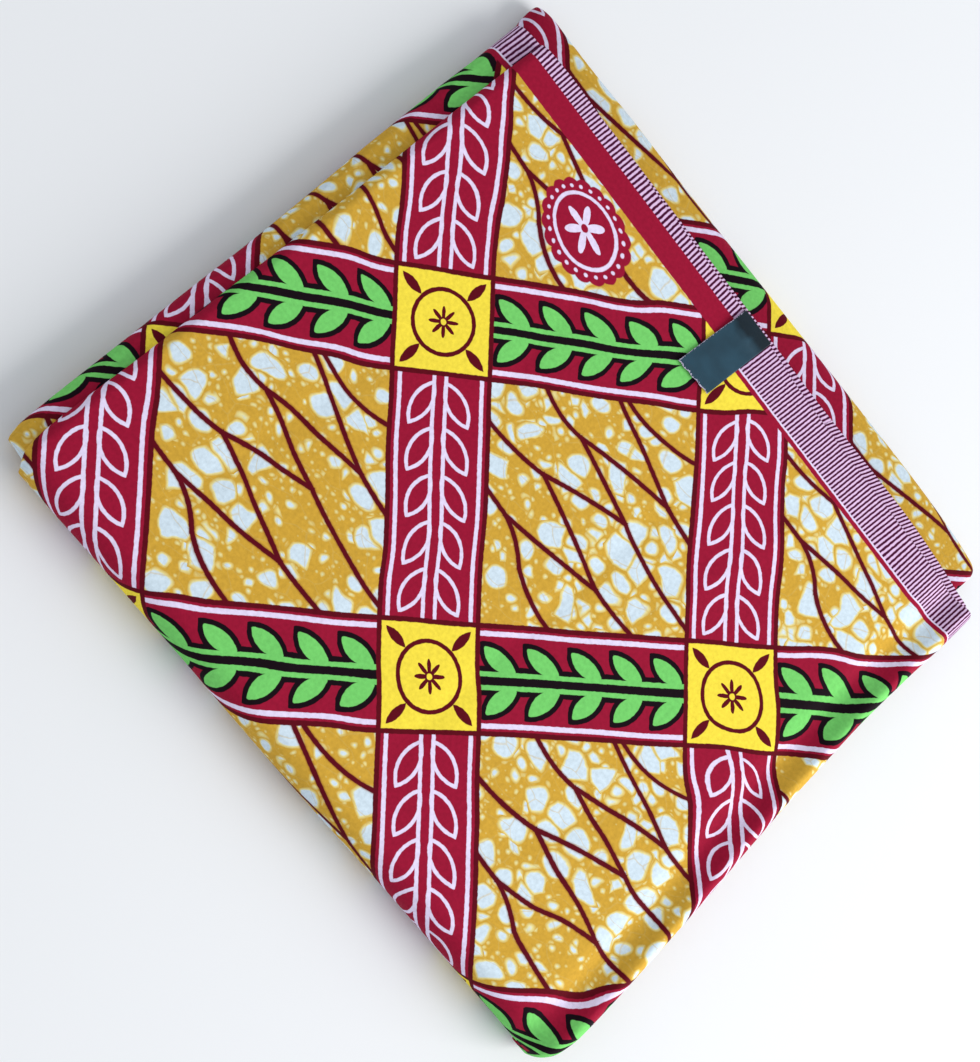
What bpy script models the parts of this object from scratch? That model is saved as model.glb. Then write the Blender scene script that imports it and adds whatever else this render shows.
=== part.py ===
"""A folded length of wax-print cotton, lying flat. Metres, +Z up, origin under the middle of the bundle.

X runs along the selvedge and Y across the cloth, towards the selvedge. The visible folds are walls that wrap
round the bundle, and the plies inside them share one solid with a row of fold noses at its two short ends.
"""
import math
from bisect import bisect_right
from collections import namedtuple

import bmesh
import bpy

# Driving sizes, all in millimetres.
MM = 0.001
WALL = 2.4
GAP = 0.4
STEP = WALL + GAP
RIM_ROUNDING = 0.7

# How far the rounded edges reach sideways and fall.
ROLL_REACH = 11.0
NOSE_REACH = 7.5
TOP_LOW_ROUND = 5.0
TOP_LOW_FALL = 4.4
TOP_HIGH_ROUND = 8.0
TOP_HIGH_FALL = 10.0
SECOND_LOW_ROUND = 3.5
SECOND_LOW_FALL = 5.0
SECOND_HIGH_INSET = STEP + GAP
LOWER_ROUND = 6.0
LOWER_FALL = 3.5

# The soft trough and ridge that run beside the top fold's high end.
TROUGH_FROM_EDGE = 13.5
TROUGH_DEPTH = 1.5
TROUGH_WIDTH = 5.0

# The label and how it is folded over the selvedge's edge.
LABEL_THICKNESS = 0.8
LABEL_GAP = 0.3
LABEL_TURN_DOWN = 1.0

Across = namedtuple("Across", "y height")
ACROSS = (
    Across(-157.0, 25.2),
    Across(-124.0, 26.0),
    Across(0.0, 26.0),
    Across(78.0, 25.8),
    Across(110.0, 24.8),
    Across(136.0, 23.4),
)

# Short edges of the top fold and of the second fold, row by row across the cloth.
Ends = namedtuple("Ends", "y top_low top_high second_low")
ENDS = (
    Ends(-166.0, -159.0, 162.0, -171.5),
    Ends(-161.0, -164.5, 169.5, -176.0),
    Ends(-153.0, -168.6, 173.4, -178.0),
    Ends(-141.0, -169.4, 175.4, -178.4),
    Ends(-120.0, -169.0, 175.6, -178.3),
    Ends(-97.0, -168.0, 175.4, -178.0),
    Ends(-60.0, -167.3, 174.6, -177.6),
    Ends(-25.0, -166.2, 173.2, -177.0),
    Ends(10.0, -165.6, 172.2, -177.2),
    Ends(45.0, -165.2, 172.2, -177.9),
    Ends(85.0, -164.9, 174.0, -177.9),
    Ends(112.0, -164.4, 178.0, -177.4),
    Ends(136.0, -163.2, 178.2, -177.4),
)

# Long edges: the soft roll, the free selvedge, the second fold's free edge and the lower fold's nose.
Sides = namedtuple("Sides", "x roll selvedge second_rim nose")
SIDES = (
    Sides(-180.0, -157.5, 131.4, 131.8, 153.4),
    Sides(-168.0, -160.2, 133.0, 133.2, 155.2),
    Sides(-155.0, -161.5, 135.0, 134.6, 155.6),
    Sides(-140.0, -161.6, 135.5, 136.0, 155.9),
    Sides(-110.0, -161.5, 134.8, 137.0, 156.8),
    Sides(-70.0, -161.5, 134.4, 137.2, 157.4),
    Sides(-35.0, -162.0, 134.3, 137.4, 158.4),
    Sides(5.0, -162.3, 134.1, 138.0, 159.6),
    Sides(38.0, -162.0, 132.0, 138.9, 160.6),
    Sides(70.0, -161.7, 131.5, 139.4, 161.5),
    Sides(115.0, -161.9, 131.7, 139.3, 162.4),
    Sides(143.0, -162.0, 132.0, 137.8, 161.5),
    Sides(165.0, -162.2, 132.7, 136.0, 156.5),
    Sides(180.0, -162.0, 133.0, 135.0, 150.0),
)

# How far each inner fold lies below the bundle's top, by its distance inside the top fold's low edge.
Below = namedtuple("Below", "inside second lower")
BELOW = (
    Below(-13.0, 8.6, 12.0),
    Below(-8.0, 7.3, 10.6),
    Below(-4.0, 6.4, 9.6),
    Below(0.0, 5.6, 8.8),
    Below(10.0, 3.9, 7.0),
    Below(28.0, 2.8, 5.8),
    Below(48.0, 2.8, 5.6),
)

# Room that the inner folds leave for the trough in the top fold, by distance from its high edge.
Room = namedtuple("Room", "from_edge depth")
ROOM = (
    Room(22.0, 1.8),
    Room(60.0, 0.3),
    Room(100.0, 0.0),
)

# Short edges of the lower fold, which widens beyond the second fold to show its rounded corner.
LowerEnds = namedtuple("LowerEnds", "y low high")
LOWER_ENDS = (
    LowerEnds(114.0, -169.0, 156.0),
    LowerEnds(130.0, -173.5, 161.0),
    LowerEnds(142.0, -177.0, 164.5),
    LowerEnds(152.0, -177.3, 164.5),
    LowerEnds(162.0, -173.0, 160.5),
)

# Where the legs that are hidden inside and under the bundle end.
LOWER_INNER_Y = 114.0
LOWER_UNDER_Y = 99.0
TOP_UNDER_Y = 97.0
SECOND_UNDER_Y = 87.0
UNDER_INSET = 3.0

# How far the stack of hidden plies stands in from the folds round it, by its share of the stack's height.
Inset = namedtuple("Inset", "share low high")
INSETS = (
    Inset(0.0, 2.6, 3.0),
    Inset(0.15, 1.4, 1.8),
    Inset(0.48, 1.4, 1.8),
    Inset(0.60, 1.8, 7.0),
    Inset(0.74, 5.0, 9.0),
    Inset(1.0, 8.5, 13.0),
)
HIDDEN_NOSES = 6
HIDDEN_AIR = 0.7
GROOVE = 1.3
CORNER_SHARE = 0.05

# The label's four corners in plan, by place along it.
LabelEdge = namedtuple("LabelEdge", "y left right")
LABEL_EDGES = (
    LabelEdge(91.0, -16.7, 4.6),
    LabelEdge(134.0, -11.9, 7.9),
)


def mix(start, end, share):
    return start + (end - start) * share


def read(table, column, at):
    """Value of a table's column between its rows, on a smooth curve that never passes beyond a row."""
    places = [row[0] for row in table]
    values = [getattr(row, column) for row in table]
    if at <= places[0]:
        return values[0]
    if at >= places[-1]:
        return values[-1]
    rises = [
        (values[i + 1] - values[i]) / (places[i + 1] - places[i]) for i in range(len(places) - 1)
    ]

    def slope(i):
        if i == 0:
            return rises[0]
        if i == len(rises):
            return rises[-1]
        before, after = rises[i - 1], rises[i]
        return 0.0 if before * after <= 0 else 2 * before * after / (before + after)

    i = bisect_right(places, at) - 1
    width = places[i + 1] - places[i]
    t = (at - places[i]) / width
    return (
        values[i] * (1 + 2 * t) * (1 - t) ** 2
        + slope(i) * width * t * (1 - t) ** 2
        + values[i + 1] * t * t * (3 - 2 * t)
        - slope(i + 1) * width * t * t * (1 - t)
    )


def bundle_top(x, y):
    """Height of the bundle's upper surface: it sinks towards the selvedge and dips beside the high end."""
    from_high_edge = read(ENDS, "top_high", y) - x
    dip = TROUGH_DEPTH * math.exp(-(((from_high_edge - TROUGH_FROM_EDGE) / TROUGH_WIDTH) ** 2))
    return read(ACROSS, "height", y) - dip


def inner_top(x, y, fold):
    """Height of an inner fold's upper surface: it slopes down beyond the top fold's low edge."""
    below = read(BELOW, fold, x - read(ENDS, "top_low", y))
    room = read(ROOM, "depth", read(ENDS, "top_high", y) - x)
    return read(ACROSS, "height", y) - below - room


def along(turn_steps, flat_steps):
    """Stations from one short end to the other: share of the flat stretch, and each end's turn in radians."""
    quarter = math.pi / 2
    low = [(0.0, quarter * (1 - i / turn_steps), 0.0) for i in range(turn_steps)]
    flat = [(0.5 - 0.5 * math.cos(math.pi * i / flat_steps), 0.0, 0.0) for i in range(flat_steps)]
    high = [(1.0, 0.0, quarter * i / turn_steps) for i in range(turn_steps + 1)]
    return low + flat + high


def around(top_steps, roll_steps, under_steps):
    """Stations round a section: share of the top leg, turn of the roll in radians, share of the leg below."""
    top = [(0.5 - 0.5 * math.cos(math.pi * i / top_steps), 0.0, 0.0) for i in range(top_steps)]
    roll = [(1.0, math.pi * i / roll_steps, 0.0) for i in range(roll_steps)]
    under = [(1.0, math.pi, i / under_steps) for i in range(under_steps + 1)]
    return top + roll + under


Fold = namedtuple(
    "Fold",
    "side reach bottom rim edge under low high low_round low_fall high_round high_fall top",
)


def fold_point(fold, place, station):
    """Point of a wrapped fold's outer surface, at one station round its section and one along it."""
    top_share, turn, under_share = place
    share, low_turn, high_turn = station
    x = mix(-170.0, 170.0, share)
    for _ in range(4):
        start = fold.edge(x) - fold.side * fold.reach
        if under_share > 0:
            y = mix(start, fold.under, under_share)
        elif turn > 0:
            y = start + fold.side * fold.reach * math.sin(turn)
        else:
            y = mix(fold.rim(x), start, top_share)
        inset = UNDER_INSET * (1 - math.cos(turn)) / 2
        low = fold.low(y) + inset + fold.low_round * (1 - math.sin(low_turn))
        high = fold.high(y) - inset - fold.high_round * (1 - math.sin(high_turn))
        x = mix(low, high, share)
    fall = fold.low_fall * (1 - math.cos(low_turn)) + fold.high_fall * (1 - math.cos(high_turn))
    crown = fold.top(x, y if turn == 0 else start) - fall
    z = mix(fold.bottom, crown, (1 + math.cos(turn)) / 2)
    return x * MM, y * MM, z * MM


def material(name, colour, roughness):
    finish = bpy.data.materials.new(name)
    finish.use_nodes = True
    shader = finish.node_tree.nodes["Principled BSDF"]
    shader.inputs["Base Color"].default_value = (*colour, 1.0)
    shader.inputs["Roughness"].default_value = roughness
    shader.inputs["Metallic"].default_value = 0.0
    return finish


def add_object(name, mesh, collection, finish):
    thing = bpy.data.objects.new(name, mesh)
    collection.objects.link(thing)
    mesh.materials.append(finish)
    mesh.shade_smooth()
    mesh.set_sharp_from_angle(angle=math.radians(40))
    return thing


def wall(name, columns, rows, lay, thickness, flip, collection, finish):
    """A grid whose points are laid by a function, thickened on its inner side and rounded at its rims."""
    shape = bmesh.new()
    bmesh.ops.create_grid(shape, x_segments=len(columns) - 1, y_segments=len(rows) - 1, size=1.0)
    for vert in shape.verts:
        column = round((vert.co.x + 1) / 2 * (len(columns) - 1))
        row = round((vert.co.y + 1) / 2 * (len(rows) - 1))
        vert.co = lay(rows[row], columns[column])
    if flip:
        bmesh.ops.reverse_faces(shape, faces=shape.faces)
    mesh = bpy.data.meshes.new(name)
    shape.to_mesh(mesh)
    shape.free()
    thing = add_object(name, mesh, collection, finish)
    thicken = thing.modifiers.new("thickness", "SOLIDIFY")
    thicken.thickness = thickness * MM
    thicken.offset = -1.0
    rims = thing.modifiers.new("rims", "BEVEL")
    rims.width = min(RIM_ROUNDING, 0.4 * thickness) * MM
    rims.segments = 1
    rims.limit_method = "ANGLE"
    rims.angle_limit = math.radians(55)
    return thing


def top_fold(collection):
    """Outermost fold: the top panel, the soft roll on the long side, and the panel that it rests on."""
    fold = Fold(
        side=-1,
        reach=ROLL_REACH,
        bottom=0.0,
        rim=lambda x: read(SIDES, "selvedge", x),
        edge=lambda x: read(SIDES, "roll", x),
        under=TOP_UNDER_Y,
        low=lambda y: read(ENDS, "top_low", y),
        high=lambda y: read(ENDS, "top_high", y),
        low_round=TOP_LOW_ROUND,
        low_fall=TOP_LOW_FALL,
        high_round=TOP_HIGH_ROUND,
        high_fall=TOP_HIGH_FALL,
        top=bundle_top,
    )
    finish = material("gold printed cotton", (0.62, 0.34, 0.05), 0.75)
    wall(
        "top_fold",
        along(4, 16),
        around(12, 9, 3),
        lambda row, column: fold_point(fold, row, column),
        WALL,
        True,
        collection,
        finish,
    )


def second_fold(collection):
    """The fold inside the top fold, which shows beyond the top fold's low edge and slopes down there."""
    fold = Fold(
        side=-1,
        reach=ROLL_REACH - STEP,
        bottom=STEP,
        rim=lambda x: read(SIDES, "second_rim", x),
        edge=lambda x: read(SIDES, "roll", x) + STEP + 2 * GAP,
        under=SECOND_UNDER_Y,
        low=lambda y: read(ENDS, "second_low", y),
        high=lambda y: read(ENDS, "top_high", y) - SECOND_HIGH_INSET,
        low_round=SECOND_LOW_ROUND,
        low_fall=SECOND_LOW_FALL,
        high_round=TOP_HIGH_ROUND - STEP,
        high_fall=TOP_HIGH_FALL - STEP,
        top=lambda x, y: inner_top(x, y, "second"),
    )
    finish = material("crimson printed cotton", (0.36, 0.02, 0.06), 0.75)
    wall(
        "second_fold",
        along(3, 12),
        around(8, 9, 4),
        lambda row, column: fold_point(fold, row, column),
        WALL,
        True,
        collection,
        finish,
    )


def lower_fold(collection):
    """The fold below the selvedge, whose rounded nose shows along the other long side."""
    fold = Fold(
        side=1,
        reach=NOSE_REACH,
        bottom=0.0,
        rim=lambda x: LOWER_INNER_Y,
        edge=lambda x: read(SIDES, "nose", x),
        under=LOWER_UNDER_Y,
        low=lambda y: read(LOWER_ENDS, "low", y),
        high=lambda y: read(LOWER_ENDS, "high", y),
        low_round=LOWER_ROUND,
        low_fall=LOWER_FALL,
        high_round=LOWER_ROUND,
        high_fall=LOWER_FALL,
        top=lambda x, y: inner_top(x, y, "lower"),
    )
    finish = material("maroon printed cotton", (0.20, 0.01, 0.04), 0.75)
    wall(
        "lower_fold",
        along(3, 14),
        around(6, 8, 3),
        lambda row, column: fold_point(fold, row, column),
        WALL,
        False,
        collection,
        finish,
    )


def rounded_square(turn):
    """Point and outward direction on a square of half-width 1 with round corners, at a share of its outline."""
    side, place = divmod(turn * 4, 1.0)
    straight = 1 - CORNER_SHARE * 2
    if place < straight:
        across = mix(-(1 - CORNER_SHARE), 1 - CORNER_SHARE, 0.5 - 0.5 * math.cos(math.pi * place / straight))
        point, way = (1.0, across), (1.0, 0.0)
    else:
        angle = (place - straight) / (1 - straight) * math.pi / 2
        way = (math.cos(angle), math.sin(angle))
        corner = 1 - CORNER_SHARE
        point = (corner + CORNER_SHARE * way[0], corner + CORNER_SHARE * way[1])
    for _ in range(int(side)):
        point = (-point[1], point[0])
        way = (-way[1], way[0])
    return point, way


def hidden_point(turn, share, spread, groove):
    """Point on the stack of hidden plies: share of its height, spread of a ring over its flat top or bottom."""
    (a, b), way = rounded_square(turn)
    a, b = a * spread, b * spread
    x, y = 0.0, 0.0
    for _ in range(4):
        south = read(SIDES, "roll", x) + 2 * STEP + 2 * GAP + HIDDEN_AIR
        north = read(SIDES, "nose", x) - STEP - HIDDEN_AIR
        y = mix(south, north, (b + 1) / 2)
        under_lower = max(0.0, min(1.0, (y - LOWER_UNDER_Y) / (LOWER_INNER_Y - STEP - LOWER_UNDER_Y)))
        west = mix(read(ENDS, "second_low", y), read(LOWER_ENDS, "low", LOWER_INNER_Y), under_lower)
        east = mix(read(ENDS, "top_high", y), read(LOWER_ENDS, "high", LOWER_INNER_Y), under_lower)
        x = mix(west, east, (a + 1) / 2)
    crown = mix(inner_top(x, y, "second"), inner_top(x, y, "lower"), under_lower)
    top = crown - STEP - HIDDEN_AIR / 2
    over_leg = max(0.0, min(1.0, (y - LOWER_INNER_Y + STEP) / (LOWER_INNER_Y - LOWER_UNDER_Y)))
    z = mix(mix(2 * STEP + GAP / 2, STEP, over_leg), top, share)
    inset = read(INSETS, "high" if way[0] > 0 else "low", share) * abs(way[0])
    middle = 0.5 * (crown + (STEP if way[1] < 0 else 0.0))
    lean = min(1.0, abs(z - middle) / (top - middle))
    reach = ROLL_REACH - 2 * STEP if way[1] < 0 else NOSE_REACH - STEP
    round_in = reach * (1 - math.sqrt(1 - lean * lean)) * abs(way[1])
    x -= way[0] * (inset + groove)
    y -= way[1] * (round_in + groove)
    return x * MM, y * MM, z * MM


def hidden_layers(collection):
    """All the plies inside the visible folds, as one rounded solid with a nose for each folded layer."""
    nose = ((0.0, GROOVE), (0.18, 0.35 * GROOVE), (0.5, 0.0), (0.82, 0.35 * GROOVE))
    rings = [(0.0, spread, GROOVE) for spread in (0.6, 0.9)]
    for layer in range(HIDDEN_NOSES):
        rings += [((layer + part) / HIDDEN_NOSES, 1.0, groove) for part, groove in nose]
    rings += [(1.0, spread, GROOVE) for spread in (1.0, 0.8, 0.45)]
    segments = 56
    shape = bmesh.new()
    bmesh.ops.create_uvsphere(shape, u_segments=segments, v_segments=len(rings) + 1, radius=1.0)
    for vert in shape.verts:
        level = round(math.acos(max(-1.0, min(1.0, -vert.co.z))) / math.pi * (len(rings) + 1))
        turn = math.atan2(vert.co.y, vert.co.x) / math.tau % 1.0
        turn = round(turn * segments) / segments % 1.0
        if level == 0:
            vert.co = hidden_point(0.0, 0.0, 0.0, 0.0)
        elif level == len(rings) + 1:
            vert.co = hidden_point(0.0, 1.0, 0.0, 0.0)
        else:
            vert.co = hidden_point(turn, *rings[level - 1])
    mesh = bpy.data.meshes.new("hidden_layers")
    shape.to_mesh(mesh)
    shape.free()
    add_object("hidden_layers", mesh, collection, material("pale cotton plies", (0.62, 0.50, 0.36), 0.8))


def label_point(row, column):
    """Point of the label's outer face: over the top panel, then round the selvedge's edge and down."""
    flat_share, turn, down_share = row
    turn_radius = RIM_ROUNDING + LABEL_GAP + LABEL_THICKNESS
    y, x = LABEL_EDGES[0].y, 0.0
    for _ in range(4):
        x = mix(read(LABEL_EDGES, "left", y), read(LABEL_EDGES, "right", y), column)
        y = mix(LABEL_EDGES[0].y, read(SIDES, "selvedge", x) - RIM_ROUNDING, flat_share)
    z = bundle_top(x, y) - RIM_ROUNDING + turn_radius * math.cos(turn) - LABEL_TURN_DOWN * down_share
    return x * MM, (y + turn_radius * math.sin(turn)) * MM, z * MM


def label(collection):
    """Blank label, laid on the top panel and folded over the selvedge's edge."""
    rows = [(i / 8, 0.0, 0.0) for i in range(8)]
    rows += [(1.0, math.pi / 2 * i / 4, 0.0) for i in range(4)]
    rows += [(1.0, math.pi / 2, float(i)) for i in range(2)]
    columns = [i / 3 for i in range(4)]
    finish = material("dark teal satin", (0.03, 0.08, 0.11), 0.5)
    wall("label", columns, rows, label_point, LABEL_THICKNESS, False, collection, finish)


def main():
    for thing in list(bpy.data.objects):
        bpy.data.objects.remove(thing, do_unlink=True)
    collection = bpy.data.collections.new("folded_print_cloth")
    bpy.context.scene.collection.children.link(collection)
    top_fold(collection)
    second_fold(collection)
    lower_fold(collection)
    hidden_layers(collection)
    label(collection)


main()
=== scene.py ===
# %% [markdown]
# This lesson dresses a folded length of wax-print cotton. The cloth is about 1.2 m wide. It was folded
# back and forth into a strip a third of a metre long, then in half across, and in half again. The packed
# model gives every place here, in metres, and its box is kept.

import math

import bpy
import numpy as np
from mathutils import Matrix, Vector


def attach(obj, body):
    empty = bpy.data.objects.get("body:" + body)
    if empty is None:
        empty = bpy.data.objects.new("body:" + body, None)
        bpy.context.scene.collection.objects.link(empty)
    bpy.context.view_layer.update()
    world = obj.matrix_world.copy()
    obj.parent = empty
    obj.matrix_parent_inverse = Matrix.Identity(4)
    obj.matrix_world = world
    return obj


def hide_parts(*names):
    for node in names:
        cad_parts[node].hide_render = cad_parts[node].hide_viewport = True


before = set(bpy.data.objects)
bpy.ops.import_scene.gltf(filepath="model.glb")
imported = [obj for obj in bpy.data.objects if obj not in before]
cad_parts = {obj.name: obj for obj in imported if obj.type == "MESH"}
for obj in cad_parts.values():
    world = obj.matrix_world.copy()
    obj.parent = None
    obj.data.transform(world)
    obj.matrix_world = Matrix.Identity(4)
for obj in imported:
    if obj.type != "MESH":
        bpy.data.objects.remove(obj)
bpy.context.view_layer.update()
print("nodes:", sorted(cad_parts))

# %% [markdown]
# The photograph looks down on the cloth with a tilt of about 21 degrees. The squares of the print tell how
# the camera stood: with this place, turn and lens they come out square and all one size. A camera looks
# along its own minus Z, so its matrix is built from its right, up and back directions.

# %% Camera
def look(place, right, up, lens):
    """Camera at a place whose picture has these right and up directions in the model's frame."""
    right, up = Vector(right).normalized(), Vector(up).normalized()
    back = right.cross(up).normalized()
    up = back.cross(right)
    turn = Matrix((right, up, back)).transposed().to_4x4()
    data = bpy.data.cameras.new("camera")
    data.lens = lens
    camera = bpy.data.objects.new("camera", data)
    camera.matrix_world = Matrix.Translation(place) @ turn
    bpy.context.scene.collection.objects.link(camera)
    bpy.context.scene.camera = camera
    return camera


CAMERA_PLACE = (-0.16155, -0.25269, 0.7038)
PICTURE_RIGHT = (0.6202, 0.6967, 0.3607)
PICTURE_UP = (-0.7594, 0.6486, 0.0529)
LENS = 57.63

camera = look(CAMERA_PLACE, PICTURE_RIGHT, PICTURE_UP, LENS)
print("camera height", round(camera.location.z, 4))

# %% [markdown]
# Each visible fold is described by a few short tables: where its edges run, and how high it lies. A smooth
# curve reads between the rows and never passes beyond a row, so a table can't make a bulge of its own.

# %% Tables of the bundle's outline, in millimetres
MM = 0.001


def table(names, rows):
    """Columns by name from rows of numbers; the first column is the place."""
    return dict(zip(names.split(), np.array(rows, dtype=float).T))


def read(rows, column, at):
    """Monotone cubic between rows: h = v0 H00(t) + m0 w H10(t) + v1 H01(t) + m1 w H11(t)."""
    places, values = next(iter(rows.values())), rows[column]
    rises = np.diff(values) / np.diff(places)
    before, after = rises[:-1], rises[1:]
    same_way = before * after > 0
    total = np.where(same_way, before + after, 1.0)
    inner = np.where(same_way, 2 * before * after / total, 0.0)
    slopes = np.concatenate([rises[:1], inner, rises[-1:]])
    at = np.clip(np.asarray(at, dtype=float), places[0], places[-1])
    i = np.clip(np.searchsorted(places, at, side="right") - 1, 0, len(places) - 2)
    width = places[i + 1] - places[i]
    t = (at - places[i]) / width
    return (
        values[i] * (1 + 2 * t) * (1 - t) ** 2
        + slopes[i] * width * t * (1 - t) ** 2
        + values[i + 1] * t * t * (3 - 2 * t)
        - slopes[i + 1] * width * t * t * (1 - t)
    )


ACROSS = table(
    "y height",
    [(-157, 25.2), (-124, 26), (0, 26), (78, 25.8), (110, 24.8), (136, 23.4)],
)
ENDS = table(
    "y top_low top_high second_low",
    [
        (-166, -159, 162, -171.5),
        (-161, -164.5, 169.5, -176),
        (-153, -168.6, 173.4, -178),
        (-141, -169.4, 175.4, -178.4),
        (-120, -169, 175.6, -178.3),
        (-97, -168, 175.4, -178),
        (-60, -167.3, 174.6, -177.6),
        (-25, -166.2, 173.2, -177),
        (10, -165.6, 172.2, -177.2),
        (45, -165.2, 172.2, -177.9),
        (85, -164.9, 174, -177.9),
        (112, -164.4, 176.6, -177.4),
        (136, -163.2, 178.2, -177.4),
    ],
)
SIDES = table(
    "x roll selvedge second_rim nose",
    [
        (-180, -157.5, 131.4, 131.8, 156),
        (-168, -160.2, 133, 133.2, 157),
        (-155, -161.5, 135, 134.6, 156),
        (-140, -161.6, 135.5, 136, 155.7),
        (-110, -161.5, 134.8, 137, 156.8),
        (-70, -161.5, 134.4, 137.2, 157.4),
        (-35, -162, 134.3, 137.4, 158.4),
        (5, -162.3, 134.1, 137.6, 159.6),
        (38, -162, 132, 137.6, 160.6),
        (70, -161.7, 131.5, 138.3, 161.5),
        (115, -161.9, 131.7, 139.4, 162.4),
        (143, -162, 132, 138.8, 162.2),
        (165, -162.2, 132.7, 137.2, 160.5),
        (180, -162, 133, 136, 157),
    ],
)
BELOW = table(
    "inside second lower",
    [
        (-13, 8.6, 12), (-8, 7.3, 10.6), (-4, 6.4, 9.6), (0, 5.6, 8.8),
        (10, 3.9, 7), (28, 2.8, 5.8), (48, 2.8, 5.6),
    ],
)
ROOM = table("from_edge depth", [(22, 1.8), (60, 0.3), (100, 0)])
LOWER_ENDS = table(
    "y low high",
    [
        (114, -169, 156), (130, -173.5, 161), (142, -177, 164.5),
        (152, -177.6, 165.2), (164, -175.5, 163.5),
    ],
)
print("outline rows:", sum(len(next(iter(rows.values()))) for rows in (ENDS, SIDES, LOWER_ENDS)))

# %% [markdown]
# The upper surface sinks a little towards the selvedge, and a soft trough runs beside the far short edge,
# where the plies inside end. A few low creases, each given in a table, are left from earlier folding. The
# inner folds keep below all of them.

# %% Heights of the folds
def step(start, end, at):
    """0 before start, 1 after end, and 3 t^2 - 2 t^3 between."""
    t = np.clip((at - start) / (end - start), 0, 1)
    return t * t * (3 - 2 * t)


def bell(distance, width):
    """exp(-(distance / width)^2), which is 1 in the middle and fades on both sides."""
    return np.exp(-((distance / width) ** 2))


CREASES = table(
    "x y turn length width height",
    [
        (-108, -62, 84, 74, 5.5, -0.55),
        (-38, -118, 97, 46, 6.5, 0.5),
        (26, -44, 88, 92, 5.0, -0.6),
        (72, 52, 79, 58, 6.0, 0.55),
        (-64, 44, 96, 52, 4.6, -0.45),
        (96, -92, 62, 60, 7.0, -0.55),
        (-20, -98, 4, 120, 8.0, 0.6),
        (60, 92, -5, 90, 6.5, 0.5),
        (-128, 84, 24, 44, 6.0, 0.5),
    ],
)


def creases(x, y):
    """Sum of soft troughs and ridges: height exp(-(across / width)^2 - (along / length)^4)."""
    total = 0.0 * (x + y)
    for place_x, place_y, turn, length, width, height in zip(*CREASES.values()):
        way_x, way_y = math.cos(math.radians(turn)), math.sin(math.radians(turn))
        along_it = (x - place_x) * way_x + (y - place_y) * way_y
        across_it = (y - place_y) * way_x - (x - place_x) * way_y
        total = total + height * np.exp(-((across_it / width) ** 2) - (along_it / length) ** 4)
    return total


TROUGH_FROM_END, TROUGH_WIDTH, TROUGH_DEPTH = 18.5, 7.0, 3.0
RIDGE_FROM_END, RIDGE_WIDTH, RIDGE_HEIGHT = 7.0, 4.2, 1.9
CREASES_FADE = 30.0


def bundle_top(x, y):
    """Table height, a bell-shaped trough and ridge beside the high end, and creases that fade out there."""
    inside = read(ENDS, "top_high", y) - x
    trough = -TROUGH_DEPTH * bell(inside - TROUGH_FROM_END, TROUGH_WIDTH)
    ridge = RIDGE_HEIGHT * bell(inside - RIDGE_FROM_END, RIDGE_WIDTH)
    return read(ACROSS, "height", y) + (trough + ridge) + creases(x, y) * (1 - bell(inside, CREASES_FADE))


def inner_top(x, y, fold):
    """Height of an inner fold: the bundle's top, less what lies above it, sloping down at the low end."""
    below = read(BELOW, fold, x - read(ENDS, "top_low", y))
    room = read(ROOM, "depth", read(ENDS, "top_high", y) - x)
    return read(ACROSS, "height", y) - below - room


print("top at the middle", round(float(bundle_top(0.0, 0.0)), 2), "mm")

# %% [markdown]
# A fold is a sheet that wraps round the bundle: a top leg, a half turn on one long side, and a leg below.
# Its short ends are fold noses, where the cloth turns down in a quarter round and then tucks back in.
# Cloth this thin is best made as one grid of points with a Solidify modifier, so its edge shows a real
# thickness, and not as a thick block.

# %% Wrapping a sheet round the bundle
def stations(*parts):
    """Joins runs of equal columns, each a tuple of arrays, into one array per column."""
    return tuple(np.concatenate(column) for column in zip(*parts))


def along(tuck_steps, turn_steps, flat_steps):
    """Stations from one short end to the other: share, low turn, high turn, low tuck, high tuck."""
    quarter = math.pi / 2
    tuck = 1 - np.arange(tuck_steps) / tuck_steps
    turn = quarter * (1 - np.arange(turn_steps) / turn_steps)
    flat = np.linspace(0, 1, flat_steps, endpoint=False)
    up = quarter * np.arange(turn_steps + 1) / turn_steps
    none_tuck, none_turn, none_flat, none_up = (np.zeros_like(run) for run in (tuck, turn, flat, up))
    full = none_tuck + quarter
    return stations(
        (none_tuck, full, none_tuck, tuck, none_tuck),
        (none_turn, turn, none_turn, none_turn, none_turn),
        (flat, none_flat, none_flat, none_flat, none_flat),
        (none_up + 1, none_up, up, none_up, none_up),
        (none_tuck + 1, none_tuck, full, none_tuck, tuck[::-1]),
    )


def around(top_steps, roll_steps, under_steps):
    """Stations round a section: share of the top leg, turn of the roll, share of the leg below."""
    top = np.linspace(0, 1, top_steps, endpoint=False)
    roll = np.arange(roll_steps) / roll_steps * math.pi
    under = np.linspace(0, 1, under_steps + 1)
    return stations(
        (top, np.zeros(top_steps), np.zeros(top_steps)),
        (np.ones(roll_steps), roll, np.zeros(roll_steps)),
        (np.ones(under_steps + 1), np.full(under_steps + 1, math.pi), under),
    )


def mix(start, end, share):
    """start where share is 0, end where it is 1, and a straight line between."""
    return start + (end - start) * share


# A table for x needs y, and one for y needs x, so a grid is worked out this many times over.
ROUNDS = 5


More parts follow.
